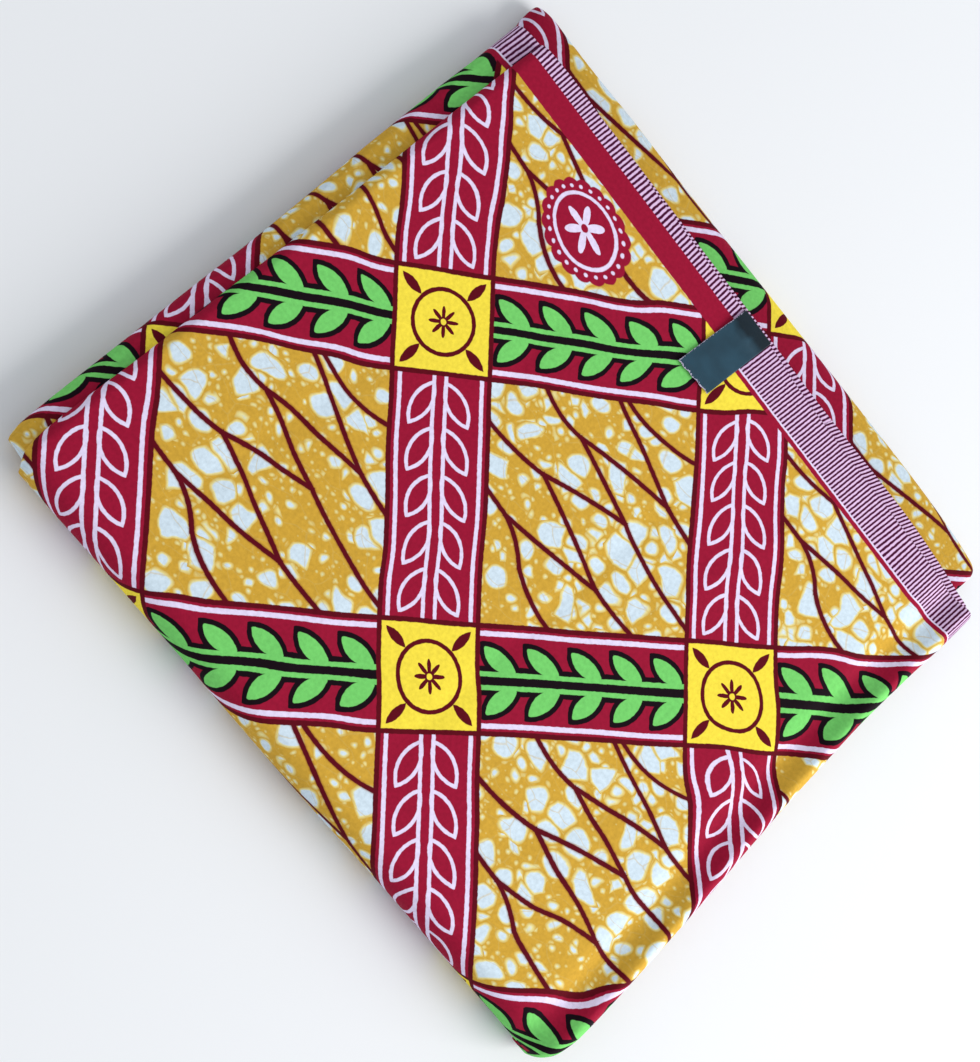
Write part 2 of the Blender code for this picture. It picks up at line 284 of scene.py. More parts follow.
def wrap(fold, rows, columns):
    """Grid of points on a wrapped sheet, in millimetres.

    y runs down the top leg, is edge + reach sin(turn) on the half turn, and runs back below; x runs from
    the low end to the high end, each rounded by round (1 - sin turn) and dropped by fall (1 - cos turn);
    z goes from the top's height to the bottom as (1 + cos turn) / 2. An end's tuck is tuck part^1.3.
    """
    top_share, turn, under_share = (part[:, None] for part in rows)
    share, low_turn, high_turn, low_tuck, high_tuck = (part[None, :] for part in columns)
    x = mix(-170.0, 170.0, share) + 0 * turn
    for _ in range(ROUNDS):
        start = fold["edge"](x) - fold["side"] * fold["reach"]
        round_edge = start + fold["side"] * fold["reach"] * np.sin(turn)
        y = np.where(turn > 0, round_edge, mix(fold["rim"](x), start, top_share))
        y = np.where(under_share > 0, mix(start, fold["under"], under_share), y)
        inset = fold["inset"] * (1 - np.cos(turn)) / 2
        low = fold["low"](y) + inset + fold["low_round"] * (1 - np.sin(low_turn))
        high = fold["high"](y) - inset - fold["high_round"] * (1 - np.sin(high_turn))
        x = mix(low, high, share)
    fall = fold["low_fall"](y) * (1 - np.cos(low_turn)) + fold["high_fall"] * (1 - np.cos(high_turn))
    crown = fold["top"](x, np.where(turn == 0, y, start)) - fall
    z = mix(fold["bottom"], crown, (1 + np.cos(turn)) / 2)
    x = x + fold["tuck"] * (low_tuck**1.3 - high_tuck**1.3)
    tucked = low_tuck + high_tuck
    dip = fold["lip"] * np.sin(np.pi * np.clip(tucked * 3, 0, 0.5))
    rise = fold["rise"] * np.clip(tucked - 0.2, 0, 1)
    return x, y, z - np.cos(turn) * dip + rise


print("columns of the top fold:", along(6, 9, 160)[0].size)

# %% [markdown]
# The print has to run true round every fold, so each piece carries its own map of the flat cloth: a UV map
# in metres, measured along the surface. The map's numbers equal x and y on the top panel, and an inner fold
# starts its map elsewhere on the same print.

# %% From a grid to a mesh with its cloth map
def arc(points, axis, origin):
    """Distance travelled along one direction of a grid, counted from the given line of points."""
    steps = np.linalg.norm(np.diff(points, axis=axis), axis=2)
    start = np.zeros_like(np.take(steps, [0], axis=axis))
    total = np.concatenate([start, np.cumsum(steps, axis=axis)], axis=axis)
    return total - np.take(total, [origin], axis=axis)


CLOTH_THICKNESS = 0.45


def cloth_mesh(name, points, flat, flip=False):
    """Mesh from a grid of points in millimetres; its UV map holds each point's place on the flat cloth."""
    rows, columns = points.shape[:2]
    index = np.arange(rows * columns).reshape(rows, columns)
    corners = (index[:-1, :-1], index[:-1, 1:], index[1:, 1:], index[1:, :-1])
    quads = np.stack(corners[::-1] if flip else corners, axis=-1).reshape(-1, 4)
    mesh = bpy.data.meshes.new(name)
    mesh.from_pydata(points.reshape(-1, 3) * MM, [], quads.tolist())
    cloth_map = mesh.uv_layers.new(name="cloth")
    cloth_map.data.foreach_set("uv", (flat.reshape(-1, 2)[quads.ravel()] * MM).ravel())
    mesh.shade_smooth()
    thing = bpy.data.objects.new(name, mesh)
    bpy.context.scene.collection.objects.link(thing)
    return thing


def thicken(thing, thickness):
    """Gives a sheet its thickness, inwards from the surface that was worked out."""
    solid = thing.modifiers.new("thickness", "SOLIDIFY")
    solid.thickness = thickness * MM
    solid.offset = -1.0
    return thing


def wrapped_cloth(name, fold, rows, columns, shift, flip):
    """Wrapped sheet with its cloth map: u along the row from its middle, v across from the free edge.

    shift(u, v) says how far the print on this piece has moved from the top panel's.
    """
    points = np.stack(np.broadcast_arrays(*wrap(fold, rows, columns)), axis=-1)
    middle = points.shape[1] // 2
    u = points[:, middle, 0][:, None] + arc(points, 1, middle)
    v = points[0, :, 1][None, :] + fold["side"] * arc(points, 0, 0)
    moved_u, moved_v = shift(u, v)
    flat = np.stack([u - moved_u, v - moved_v], axis=-1)
    thing = cloth_mesh(name, points, flat, flip)
    thicken(thing, CLOTH_THICKNESS)
    print(name, points.shape[0], "by", points.shape[1], "points")
    return thing, points


# %% [markdown]
# The outermost fold carries the selvedge on its free edge. Its long side is one soft roll as thick as the
# whole bundle. Cloth is never quite square, so its print slips from a perfect repeat as it lies: a table of
# landmarks says by how much, and each point takes a mean of the landmarks round it.

# %% How the print slips on the top fold
LANDMARKS = table(
    "x y along across",
    [
        (-163, 108, 8, 3.5), (-147, 98, 5.5, 5.5), (-153, 84, 0.5, 4), (-154, 52, 2, 2.5),
        (-165, 12, 0, 5.5), (-150, -10, -0.5, 4), (-165, -35, -0.5, 5), (-158, -62, -2, 6),
        (-158, -93, -3, 4.8), (-145, -125, -5.5, 4.5), (-125, -150, -6, 5), (-123, 56, 1, 0.5),
        (-131, 14, 1, 0.5), (-131, -35, 0, 3.5), (-128, -63, -3.5, 5), (-120, -91, -2, 4),
        (-100, 45, 1, -0.5), (-100, -18, 1, 0.5), (-97, -157, -4.5, 2.5), (-110, 100, 1, 3.5),
        (-47, 84, 5, 0.5), (-33, 103, 5, 3.8), (-62, 62, 2, 0), (-20, 66, 1.5, -1.8), (-70, 20, 0.5, 0),
        (-60, -30, 0, 0.5), (-85, -77, -2.5, 2), (-55, -62, 0, 1.5), (-70, -107, -1, 2.2),
        (-62, -140, -1.5, 3), (7, 84, 5, 0.2), (0, 110, 5, 3.5), (0, 30, 0, 0), (8, -59, -1.5, -0.5),
        (-22, -90, -1.5, 0.5), (12, -121, 1, 0), (-15, -138, -1, 0.6), (47, 106, 4, 3.4), (60, 88, 2, 2.4),
        (45, 0, 0, 0), (43, -91, 0.5, 0), (60, -150, 1, 0), (112, 40, 1.6, 0), (81, 10, 0.5, 0),
        (114, -21, 2, -1), (100, 100, 3, 3.4), (92, -85, 2, 0.5), (100, -124, 3.5, -1.5), (118, -160, 1, 0),
        (135, 57, 2, 2), (152, 71, 8, 3.5), (139, 96, 7, 3), (147, 10, 5.5, -1), (158, 34, 6, 0),
        (150, -18, 6, 4), (138, -60, 2, 3), (134, -83, 5, 1), (146, -111, 4, 3), (145, -140, 4, 2.5),
        (166, 97, 7, 3.5), (162, -62, 4, 6), (170, -84, 4, 7), (168, -111, 4, 3), (163, -140, 9, -1),
        (169, 36, 12, 0), (-127, 76, 3, 3.2), (-137, 87, 4, 4.5),
    ],
)
LANDMARK_REACH = 19.0
SELVEDGE_SLIP, SLIP_AT_ITS_END = 3.5, 1.8


def slipped(u, v):
    """Mean slip of the landmarks, each weighted 1 / (1 + (distance / reach)^2)^3.

    Near the selvedge the slip across is one and the same, and a little more at the high end.
    """
    u, v = np.asarray(u, dtype=float), np.asarray(v, dtype=float)
    away = (u[..., None] - LANDMARKS["x"]) ** 2 + (v[..., None] - LANDMARKS["y"]) ** 2
    weight = (1 + away / LANDMARK_REACH**2) ** -3
    weight = weight / np.sum(weight, axis=-1, keepdims=True)
    at_selvedge = SELVEDGE_SLIP + SLIP_AT_ITS_END * step(143, 156, u)
    return weight @ LANDMARKS["along"], mix(weight @ LANDMARKS["across"], at_selvedge, step(95, 108, v))


print("slip near the selvedge", [round(float(part), 2) for part in slipped(-88.5, 93.8)])

# %% The top fold
top_cloth, top_points = wrapped_cloth(
    "top_cloth",
    {
        "side": -1, "reach": 11.0, "bottom": 0.0, "under": 97.0, "inset": 3.0,
        "rim": lambda x: read(SIDES, "selvedge", x),
        "edge": lambda x: read(SIDES, "roll", x),
        "low": lambda y: read(ENDS, "top_low", y) + 0.8,
        "high": lambda y: read(ENDS, "top_high", y),
        "low_round": 5.0, "low_fall": lambda y: 4.4 - 2.4 * step(95, 130, y),
        "high_round": 8.0, "high_fall": 10.0,
        "top": bundle_top, "tuck": 9.0, "lip": 0.5, "rise": 0.6,
    },
    around(130, 30, 60),
    along(6, 9, 160),
    slipped,
    True,
)

# %% [markdown]
# The next fold in shows as a strip beyond the top fold's short edge, in its shade, and slopes down there.
# Its print starts nearly 60 mm farther along, and a table holds how far, as the cloth isn't quite square.
# Past the top fold's free edge a narrow row of its own stripes peeks out.

# %% The second fold
MOVED = table(
    "y along across",
    [
        (-140, 52.5, 4.3), (-87, 54.6, 3.5), (-35, 57, 1.5), (10, 62, -0.4), (48, 60.5, 1), (70, 58.6, -1),
        (84, 58.6, -0.4), (96, 60.2, 2.4), (108, 61.5, 5), (117, 61.5, 7.6), (130, 62, 7.6),
    ],
)


def second_moved(u, v):
    """Shift by v from the table; its own selvedge leans over by 0.3 mm in 1, but not at the low end."""
    leaning = 0.3 * np.clip(v - 131, 0, 9) * step(-150, -120, u)
    return read(MOVED, "along", v) + leaning, read(MOVED, "across", v)


second_cloth, second_points = wrapped_cloth(
    "second_cloth",
    {
        "side": -1, "reach": 8.2, "bottom": 2.8, "under": 87.0, "inset": 3.0,
        "rim": lambda x: read(SIDES, "second_rim", x) + 3.0 * step(-150, -172, x),
        "edge": lambda x: read(SIDES, "roll", x) + 3.6,
        "low": lambda y: read(ENDS, "second_low", y) + 1.5,
        "high": lambda y: read(ENDS, "top_high", y) - 3.2,
        "low_round": 3.5, "low_fall": lambda y: 5.0 + 0 * y, "high_round": 5.2, "high_fall": 7.2,
        "top": lambda x, y: inner_top(x, y, "second"), "tuck": 8.0, "lip": 0.3, "rise": 0.2,
    },
    around(120, 20, 40),
    along(5, 8, 120),
    second_moved,
    True,
)

# %% [markdown]
# Below the selvedge lies the nose of the fold that holds all the others, and it shows all along that side.

# %% The lower fold
LOWER_MOVED = table(
    "x along across",
    [
        (-180, -5.5, -2.5), (-147, -4, -2.5), (-90, -0.5, -2), (-40, 1, 0), (2, 3.4, 0), (35, 4, 0),
        (68, 3.4, 1.4), (92, 5, 3), (112, 6, 5), (135, 5, 6.2), (180, 4, 6.6),
    ],
)


def lower_moved(u, v):
    """Shift by u from the table, and across to another part of the print."""
    return read(LOWER_MOVED, "along", u) - 8.7, 263.2 + read(LOWER_MOVED, "across", u)


lower_cloth, lower_points = wrapped_cloth(
    "lower_cloth",
    {
        "side": 1, "reach": 7.5, "bottom": 0.0, "under": 99.0, "inset": 3.0,
        "rim": lambda x: 114.0 + 0 * x,
        "edge": lambda x: read(SIDES, "nose", x) - 2.8,
        "low": lambda y: read(LOWER_ENDS, "low", y),
        "high": lambda y: read(LOWER_ENDS, "high", y),
        "low_round": 6.0, "low_fall": lambda y: 3.5 + 0 * y, "high_round": 6.0, "high_fall": 3.5,
        "top": lambda x, y: inner_top(x, y, "lower"), "tuck": 6.0, "lip": 0.5, "rise": 0.2,
    },
    around(40, 24, 24),
    along(5, 9, 170),
    lower_moved,
    False,
)

# %% [markdown]
# All the plies inside are one stack with a rounded outline. Its short ends show a row of fold noses, so
# each ring of points swells to the middle of a ply and draws in between two plies.

# %% The plies inside
INSETS = table(
    "share low high",
    [(0, 2.6, 3), (0.15, 1.4, 1.8), (0.48, 1.4, 1.8), (0.6, 1.8, 7), (0.74, 5, 9), (1, 8.5, 13)],
)
PLIES = 13


def square_round(turn, corner=0.05):
    """Point and outward way on a square of half-width 1 whose corners are quarter rounds."""
    side, place = np.floor(turn * 4), turn * 4 % 1.0
    straight = 1 - 2 * corner
    on_side = place < straight
    across = mix(-(1 - corner), 1 - corner, 0.5 - 0.5 * np.cos(np.pi * np.clip(place / straight, 0, 1)))
    angle = np.clip((place - straight) / (1 - straight), 0, 1) * np.pi / 2
    way = np.where(on_side, 1.0, np.cos(angle)) + 1j * np.where(on_side, 0.0, np.sin(angle))
    bend = (1 - corner) * (1 + 1j) + corner * way
    quarter = 1j**side
    point = np.where(on_side, 1.0 + 1j * across, bend) * quarter
    way = way * quarter
    return point.real, point.imag, way.real, way.imag


FROM_ROLL, FROM_NOSE, BELOW_FOLD = 7.1, 3.5, 3.15
LOWER_LEG_END, LOWER_LEG_BLEND = 99.0, 12.2
LOWER_LOW_END, LOWER_HIGH_END = -169.0, 156.0
ON_TWO_LEGS, ON_ONE_LEG = 5.8, 2.8
ROUND_AT_ROLL, ROUND_AT_NOSE = 5.4, 4.7


def stack_points(turn, share, spread, groove):
    """Points of the ply stack: a rounded square laid between the roll and the nose, drawn in by tables.

    Its long sides round in by r (1 - sqrt(1 - lean^2)), with lean from 0 at half height to 1.
    """
    a, b, way_x, way_y = square_round(turn)
    a, b = a * spread, b * spread
    x = y = 0 * (a + share)
    for _ in range(ROUNDS):
        south = read(SIDES, "roll", x) + FROM_ROLL
        north = read(SIDES, "nose", x) - FROM_NOSE
        y = mix(south, north, (b + 1) / 2)
        under_lower = np.clip((y - LOWER_LEG_END) / LOWER_LEG_BLEND, 0, 1)
        west = mix(read(ENDS, "second_low", y), LOWER_LOW_END, under_lower)
        east = mix(read(ENDS, "top_high", y), LOWER_HIGH_END, under_lower)
        x = mix(west, east, (a + 1) / 2)
    crown = mix(inner_top(x, y, "second"), inner_top(x, y, "lower"), under_lower)
    top = crown - BELOW_FOLD
    over_leg = np.clip((y - 111.2) / 15.0, 0, 1)
    z = mix(mix(ON_TWO_LEGS, ON_ONE_LEG, over_leg), top, share)
    inset = np.where(way_x > 0, read(INSETS, "high", share), read(INSETS, "low", share)) * np.abs(way_x)
    middle = 0.5 * (crown + np.where(way_y < 0, ON_ONE_LEG, 0.0))
    lean = np.minimum(1.0, np.abs(z - middle) / (top - middle))
    radius = np.where(way_y < 0, ROUND_AT_ROLL, ROUND_AT_NOSE)
    round_in = radius * (1 - np.sqrt(1 - lean * lean)) * np.abs(way_y)
    x = x - way_x * (inset + groove)
    y = y - way_y * (round_in + groove)
    return np.stack([x, y, z + 0 * x], axis=-1)


def ply_stack():
    """Closed stack: groove = 1.3 (1 - sqrt(sin(pi part))) over each ply, and a slow uneven wave."""
    steps = 6
    part = np.tile(np.arange(steps) / steps, PLIES)
    ply = np.repeat(np.arange(PLIES), steps)
    share = (ply + part) / PLIES
    turn = np.linspace(0, 1, 401)[None, :]
    wander = 0.35 * np.sin(turn * math.tau * 9 + ply[:, None] * 2.1)
    wander = wander + 0.45 * np.sin(ply[:, None] * 4.7 + 1.0)
    groove = 1.3 * (1 - np.sqrt(np.sin(np.pi * part)))[:, None] + 0.5 * wander + 0.4
    body = stack_points(turn, share[:, None], 1.0, np.clip(groove, 0.0, 1.9))
    under = [stack_points(turn, np.zeros((1, 1)), spread, 1.3) for spread in (0.0, 0.5, 0.9)]
    above = [stack_points(turn, np.ones((1, 1)), spread, 1.3) for spread in (1.0, 0.9, 0.5, 0.0)]
    points = np.concatenate([*under, body, *above], axis=0)
    length = arc(points, 1, 0)
    down = arc(points, 0, 0)
    ply_of_ring = np.concatenate([[0, 0, 0], ply, [PLIES] * 4])[:, None]
    flat = np.stack([length + 37.0 * ply_of_ring, -200.0 - down - 61.0 * ply_of_ring], axis=-1)
    thing = cloth_mesh("inner_plies", points, flat)
    print("inner_plies", points.shape[0], "rings")
    return thing


inner_plies = ply_stack()

# %% [markdown]
# A small blank label is folded over the selvedge's edge. It is satin ribbon, so it stays a separate sheet.
# It stands up a little where it turns over the edge, as a stiff ribbon does.

# %% The label
LABEL = table("y left right", [(91, -16.7, 3.6), (134, -11.9, 7.9)])
RIBBON_THICKNESS = 0.35
TURN_RADIUS, TURN_BEFORE_EDGE = 1.8, 0.7
FLAT_ROWS, TURN_ROWS, DOWN_ROWS = 60, 11, 3


def label_piece():
    """Sheet over the top panel, a quarter round (r sin turn, r cos turn) over its edge, then 1 mm down."""
    rows_past_flat = TURN_ROWS + DOWN_ROWS
    quarter = math.pi / 2
    flat_share = np.concatenate([np.linspace(0, 1, FLAT_ROWS, endpoint=False), np.ones(rows_past_flat)])
    turn = np.concatenate(
        [np.zeros(FLAT_ROWS), np.linspace(0, quarter, TURN_ROWS), np.full(DOWN_ROWS, quarter)]
    )[:, None]
    down = np.concatenate([np.zeros(FLAT_ROWS + TURN_ROWS), [0.33, 0.66, 1.0]])[:, None]
    across = np.linspace(0, 1, 41)[None, :]
    y, x = 91.0 + 0 * across, 0 * across
    for _ in range(ROUNDS):
        x = mix(read(LABEL, "left", y), read(LABEL, "right", y), across)
        start = 90.4 + 1.2 * across + 0.25 * np.sin(across * 23.0)
        y = mix(start, read(SIDES, "selvedge", x) - TURN_BEFORE_EDGE, flat_share[:, None])
    swell = 0.9 * bell(y - 125.5, 3.2) * (0.7 + 0.5 * np.sin(across * 4.0)) + 0.35 * bell(y - 93.0, 3.0)
    z = bundle_top(x, y) - TURN_BEFORE_EDGE + TURN_RADIUS * np.cos(turn) - down + swell
    points = np.stack(np.broadcast_arrays(x, y + TURN_RADIUS * np.sin(turn), z), axis=-1)
    flat = np.stack([arc(points, 1, 0), arc(points, 0, 0)], axis=-1)
    thing = cloth_mesh("label_ribbon", points, flat)
    return thicken(thing, RIBBON_THICKNESS), points


label_ribbon, label_points = label_piece()
print("label_ribbon", label_points.shape[0], "by", label_points.shape[1], "points")

# %% [markdown]
# A pattern this sharp would need a million faces if it were painted on the mesh, so it is worked out in
# the shader from the cloth map. A small class wraps a node's output: adding or multiplying two wires makes
# the Math node for it, so a mask can be written down like a formula. Distances are in millimetres and are
# negative inside a shape.

# %% Shader maths as Python expressions
class Wire:
    """One output of a shader node; operators on wires add Math nodes, and node() adds any other."""

    def __init__(self, tree, socket=None):
        self.tree, self.socket = tree, socket

    def node(self, kind, sockets, out=0, **settings):
        """New node: its settings first, then the values or wires of its sockets; gives one output."""
        made = self.tree.nodes.new(kind)
        for name, value in settings.items():
            setattr(made, name, value)
        for key, value in sockets.items():
            if isinstance(value, Wire):
                self.tree.links.new(value.socket, made.inputs[key])
            else:
                made.inputs[key].default_value = value
        return Wire(self.tree, made.outputs[out])

    def math(self, operation, *values, clamp=False):
        """Math node on these values, numbers or wires."""
        return self.node("ShaderNodeMath", dict(enumerate(values)), operation=operation, use_clamp=clamp)

    def __add__(self, other):
        return self.math("ADD", self, other)

    def __sub__(self, other):
        return self.math("SUBTRACT", self, other)

    def __rsub__(self, other):
        return self.math("SUBTRACT", other, self)

    def __mul__(self, other):
        return self.math("MULTIPLY", self, other)

    def __abs__(self):
        return self.math("ABSOLUTE", self)

    __rmul__ = __mul__

    def least(self, other):
        return self.math("MINIMUM", self, other)

    def most(self, other):
        return self.math("MAXIMUM", self, other)

    def wrapped(self, low, high):
        return self.math("WRAP", self, high, low)

    def linear(self, a, b, c=0.0):
        """a x + b y + c of a vector wire whose z is 1."""
        return self.node("ShaderNodeVectorMath", {0: self, 1: (a, b, c)}, out=1, operation="DOT_PRODUCT")

    def ink(self, soft=0.25):
        """1 inside a shape and 0 outside, from its distance, over a soft edge."""
        return self.math("MULTIPLY_ADD", self, -1.0 / soft, 0.5, clamp=True)

    def between(self, first, second):
        """The first colour where this wire is 0, the second where it is 1."""
        return self.node("ShaderNodeMix", {0: self, 6: first, 7: second}, out=2, data_type="RGBA")

    def painted(self, colour, mask):
        """This colour with another laid over it where the mask is 1."""
        return mask.between(self, colour)

    def noise(self, scale, detail, out=0):
        """Cloudy noise over this place, so many clouds to a millimetre; out "Color" gives three at once."""
        sockets = {"Vector": self, "Scale": scale, "Detail": detail}
        return self.node("ShaderNodeTexNoise", sockets, out=out, noise_dimensions="2D")

    def cells(self, randomness, feature, out="Distance"):
        """Voronoi cells over this place, about one to each unit of it."""
        sockets = {"Vector": self, "Scale": 1.0, "Randomness": randomness}
        return self.node("ShaderNodeTexVoronoi", sockets, out=out, voronoi_dimensions="2D", feature=feature)

    def vector(self, operation, other, out=0):
        """Vector Math node on this wire and another vector, or a number for SCALE."""
        key = 3 if operation == "SCALE" else 1
        return self.node("ShaderNodeVectorMath", {0: self, key: other}, out=out, operation=operation)

    def into(self, shader, socket):
        """Links this wire to a socket of the finish's shader."""
        self.tree.links.new(self.socket, shader.inputs[socket])


def ink_colour(red, green, blue):
    """Linear colour from the 0 to 255 values of a screen colour, by the sRGB curve."""
    shares = np.array([red, green, blue]) / 255
    linear = np.where(shares <= 0.04045, shares / 12.92, ((shares + 0.055) / 1.055) ** 2.4)
    return (*linear.tolist(), 1.0)


OCHRE = ink_colour(208, 162, 58)
PALE = ink_colour(210, 225, 235)
CREAM = ink_colour(230, 216, 146)
CRACK = ink_colour(208, 174, 92)
CRIMSON = ink_colour(154, 22, 52)
MAROON = ink_colour(94, 12, 26)
YELLOW = ink_colour(247, 222, 70)
GREEN = ink_colour(118, 206, 106)
BLACK = ink_colour(24, 12, 20)
WHITE = ink_colour(230, 217, 243)
BLEED = ink_colour(150, 84, 34)
STRIPE = ink_colour(228, 192, 228)
PLUM = ink_colour(72, 8, 48)
print("crimson ink", [round(part, 3) for part in CRIMSON[:3]])

# %% [markdown]
# The print repeats along two slanted directions. From the middle of one yellow square to the next it is
# 143 mm along the green leaves and 152 mm along the white ones, and the two run at 45 degrees to the
# selvedge. The cloth place is turned into a distance along each, and wrapped into one repeat.

# %% The print's repeat
SQUARE = (-99.5, 13.4)
ALONG_GREEN = (101.0, 101.0)
ALONG_WHITE = (109.7, -104.7)
REPEAT_GREEN, REPEAT_WHITE = math.hypot(*ALONG_GREEN), math.hypot(*ALONG_WHITE)
HALF_BAND = 22.4
TO_PRINT = np.linalg.inv(
    np.array([np.divide(ALONG_GREEN, REPEAT_GREEN), np.divide(ALONG_WHITE, REPEAT_WHITE)]).T
)
print("repeat", round(REPEAT_GREEN, 1), "by", round(REPEAT_WHITE, 1), "mm")


def lens_circles(tip, root, outward, inward):
    """Two circles through tip and root, bulging by two heights: r = chord^2 / 8h + h / 2."""
    tip, root = np.array(tip, dtype=float), np.array(root, dtype=float)
    chord = root - tip
    length = np.hypot(*chord)
    across = np.array([-chord[1], chord[0]]) / length
    circles = []
    for height, way in ((outward, across), (inward, -across)):
        radius = length**2 / (8 * height) + height / 2
        centre = (tip + root) / 2 + way * (height - radius)
        circles.append((*centre.tolist(), float(radius)))
    return circles


def lens(x, y, circles, blunt):
    """Distance to the shape where two circles overlap, its points rounded by a smooth maximum."""
    spans = []
    for cx, cy, radius in circles:
        spot = x.node("ShaderNodeCombineXYZ", {0: x, 1: y})
        spans.append(spot.vector("DISTANCE", (cx, cy, 0.0), out=1) - radius)
    return x.math("SMOOTH_MAX", spans[0], spans[1], blunt)


# %% [markdown]
# The golden ground carries pale bubbles where the wax kept the dye off. They are rounded cells of a Voronoi
# pattern, in three sizes: each one fills its cell to a size of its own, and a smaller one keeps clear of a
# larger one, so thin lines of dye run between neighbours. A net of maroon lines crosses each golden cell.
# A line is charted with three points, and a parabola goes through them.

# %% The golden ground
NET = (
    ((48, 21), (57, 35), (66.5, 43.5)),
    ((66.5, 43.5), (88, 56.3), (109, 70.5)),
    ((66.5, 43.5), (78, 62), (89, 80)),
    ((22, 40), (35, 52), (49, 61.5)),
    ((49, 61.5), (68, 69.5), (89, 80)),
    ((49, 61.5), (61, 82.3), (75.5, 110)),
    ((22, 69.5), (27, 75.4), (32, 81)),
    ((32, 81), (53, 95.4), (75.5, 110)),
    ((32, 81), (37.2, 91), (40, 103)),
    ((40, 103), (45.3, 116), (54, 128.5)),
    ((75.5, 110), (84, 120), (94, 129.5)),
    ((89, 80), (103, 103.5), (121, 125.5)),
    ((84, 21), (97, 46.6), (109, 70.5)),
    ((109, 70.5), (114.6, 78.8), (121, 87)),
    ((88, 21), (103, 37.5), (121, 48)),
)


def stroke(spot, start, middle, end):
    """Distance to a parabola n = 4 h t (1 - t) laid along the chord, with h from the middle point."""
    start, middle, end = (np.array(p, dtype=float) for p in (start, middle, end))
    chord = end - start
    length = float(np.hypot(*chord))
    ux, uy = chord / length
    t_mid = float((middle - start) @ (ux, uy)) / length
    n_mid = float((middle - start) @ (-uy, ux))
    height = n_mid / (4 * t_mid * (1 - t_mid))
    t = spot.linear(ux / length, uy / length, -float(start @ (ux, uy)) / length)
    n = spot.linear(-uy, ux, -float(start @ (-uy, ux)))
    curve = t * (1 - t)
    away = abs(t.math("MULTIPLY_ADD", curve, -4 * height, n))
    beyond = t.math("MULTIPLY_ADD", abs(t - 0.5), length, -0.5 * length)
    return away.most(beyond)


NET_HALF_WIDTH = 1.05


def net_lines(spot):
    """Distance to the edge of the nearest line of the net."""
    nearest = None
    for points in NET:
        away = stroke(spot, *points)
        nearest = away if nearest is None else nearest.least(away)
    return nearest - NET_HALF_WIDTH


BIG = {"size": 11.8, "fill": (-3.4, 10.2), "seed": 7.0}
SMALL = {"size": 5.8, "fill": (-4.4, 5.2), "seed": 41.0}
SPECKS = {"size": 2.7, "fill": (-3.6, 1.4), "seed": 90.0}


def bubbles(place, size, fill, seed, crowd=0.0):
    """Smooth maximum of near - radius and 0.1 - room, from a cell's middle and from its border.

    Each cell has a radius of its own between the two numbers of fill, and no bubble if it is below 0.
    """
    spot = place.vector("ADD", (seed, 2 * seed, 0.0)).vector("MULTIPLY", (0.9 / size, 1.06 / size, 0.0))
    near = spot.cells(0.82, "F1")
    room = spot.cells(0.82, "DISTANCE_TO_EDGE")
    chance = place.node("ShaderNodeSeparateColor", {0: spot.cells(0.82, "F1", "Color")})
    radius = place.math("MULTIPLY_ADD", chance, fill[1] - fill[0], fill[0]) + crowd
    return place.math("SMOOTH_MAX", near * size - radius, 0.1 - room * size, 0.55 * size)


def cracks(place):
    """Distance to thin cracks of dye, longer along the selvedge than across it."""
    spot = place.vector("MULTIPLY", (1 / 19.0, 1 / 10.0, 0.0))
    return spot.cells(1.0, "DISTANCE_TO_EDGE") * 13.0 - 0.15


BUBBLE_GAP = 0.9


def golden_ground(place, spot, grain):
    """Ochre with three sizes of pale bubbles whose outlines waver a little, each with a cream rim.

    They crowd towards one corner of the cloth, by 0.008 x + 0.012 y. A smooth maximum with gap - away
    keeps a smaller one clear of a larger one.
    """
    crowd = place.linear(0.008, 0.012).least(2.2).most(-1.2)
    waver = place.noise(0.1, 0.5, "Color").vector("SUBTRACT", (0.5, 0.5, 0.5))
    bent = place.vector("ADD", waver.vector("MULTIPLY", (4.0, 4.0, 0.0)))
    big = bubbles(bent, **BIG, crowd=crowd)
    small = place.math("SMOOTH_MAX", bubbles(bent, **SMALL, crowd=crowd * 0.8), BUBBLE_GAP - big, 3.0)
    both = big.least(small)
    specks = place.math("SMOOTH_MAX", bubbles(place, **SPECKS), BUBBLE_GAP - both, 1.2)
    away = both.least(specks) + grain * 0.3
    colour = away.ink(0.9).between(OCHRE, CREAM)
    colour = colour.painted(PALE, (away + 0.7).ink(0.5))
    colour = colour.painted(CRACK, cracks(bent).ink(0.5) * 0.6)
    lines = net_lines(spot)
    colour = colour.painted(BLEED, (lines - 0.3).ink(0.9) * 0.7)
    return colour.painted(MAROON, lines.ink(0.3))


print("net lines:", len(NET))

# %% [markdown]
# Two kinds of band cross the cloth. The white one has almond leaves drawn as outlines, and the green one
# has filled leaves with a black line round them. A leaf is the overlap of two circles, repeated by
# wrapping the distance along the band. A square where two bands cross holds a plain ring and a rosette.

# %% Bands and squares
WHITE_LEAF = lens_circles((2.9, 1.0), (13.2, 19.3), 4.3, 4.3)
WHITE_PITCH, WHITE_START, WHITE_MIDDLE, WHITE_HALF = 20.2, 25.6, 76.1, 50.3
GREEN_LEAF = lens_circles((1.6, 14.4), (16.8, 3.2), 3.2, 5.0)
GREEN_PITCH, GREEN_START = 19.7, 23.5
CORNER_LEAF = lens_circles((10.6, 10.6), (19.4, 19.4), 2.1, 2.1)


def white_band(across, along_band):
    """Distance to the white lines: borders, a double stem and a leaf outline on each side.

    Only whole leaves are drawn, between one square and the next.
    """
    aside = abs(across + 0.5)
    whole = abs(along_band - WHITE_MIDDLE) - WHITE_HALF
    leaf = lens(aside, (along_band - WHITE_START).wrapped(0.0, WHITE_PITCH), WHITE_LEAF, 0.2)
    border = abs(abs(across) - 18.9) - 0.95
    stem = abs(aside - 2.8) - 0.88
    return (abs(leaf) - 0.8).most(whole).least(stem).least(border)


